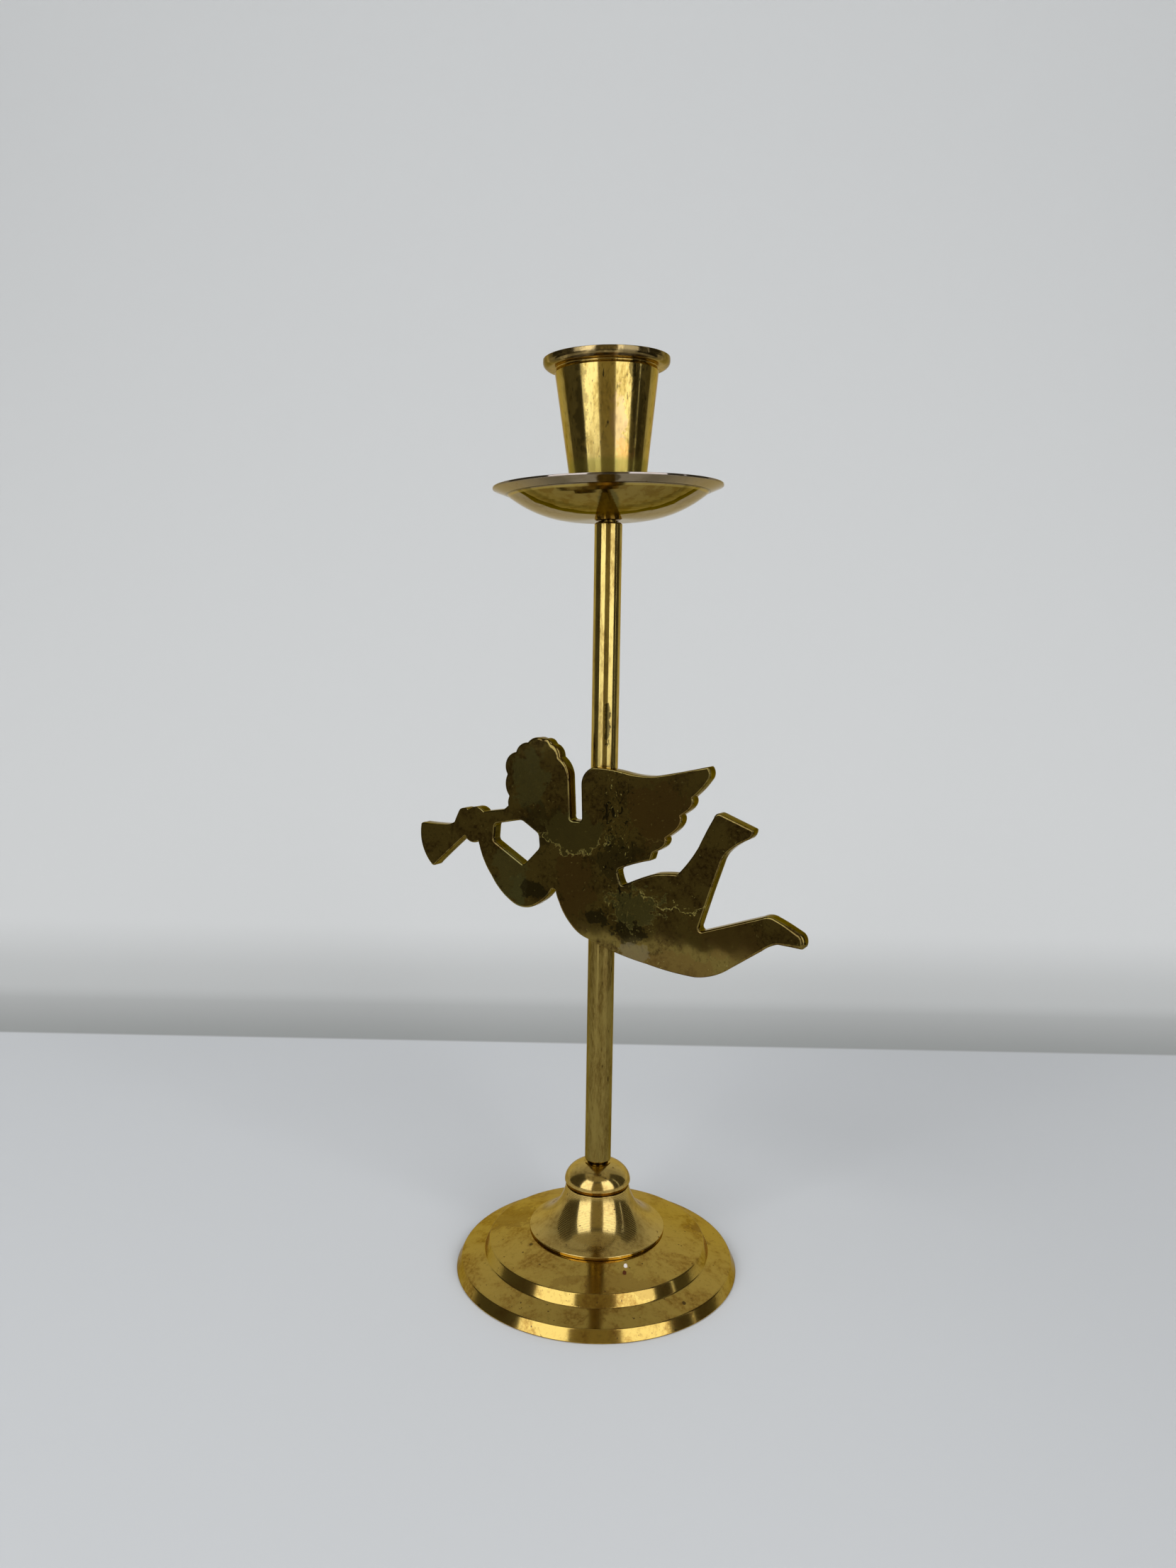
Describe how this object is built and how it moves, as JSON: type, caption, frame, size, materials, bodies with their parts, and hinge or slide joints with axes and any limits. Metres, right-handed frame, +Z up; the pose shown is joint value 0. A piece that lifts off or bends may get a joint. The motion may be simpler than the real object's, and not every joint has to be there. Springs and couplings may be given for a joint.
{
  "type": "angel candle holder",
  "caption": "Slim brass candlestick: stepped round foot, turned collars, rod with a flat trumpeting angel, drip pan and tapered candle cup.",
  "frame": {"origin": "on the table, under the middle of the whole width and depth; the stem's axis stands 0.8 mm to +X of it", "axes": "+Z up along the stem, -Y towards the side that the angel faces, the angel's trumpet to -X"},
  "size_m": [0.1002, 0.0762, 0.2398],
  "materials": {
    "foot_brass": "turned and polished, tarnished olive brown with dark specks",
    "collar_brass": "turned and polished, lightly tarnished",
    "rod_brass": "drawn and polished, brown tarnish in streaks",
    "pan_brass": "turned sheet, satin, greyish brown tarnish underneath",
    "cup_brass": "turned and polished, pinkish tarnish on the lip, dark spots",
    "angel_brass": "cast, polished face with pits, dark olive brown tarnish and tide lines",
    "screw_brass": "plain turned, dull"
  },
  "bodies": {
    "root": {"foot": "foot_brass", "bell_collar": "collar_brass", "ball_collar": "collar_brass", "rod": "rod_brass", "drip_pan": "pan_brass", "candle_cup": "cup_brass", "angel_plate": "angel_brass", "angel_screw_lower": "screw_brass", "angel_screw_upper": "screw_brass", "foot_washer": "screw_brass", "foot_nut": "screw_brass"}
  },
  "joints": []
}
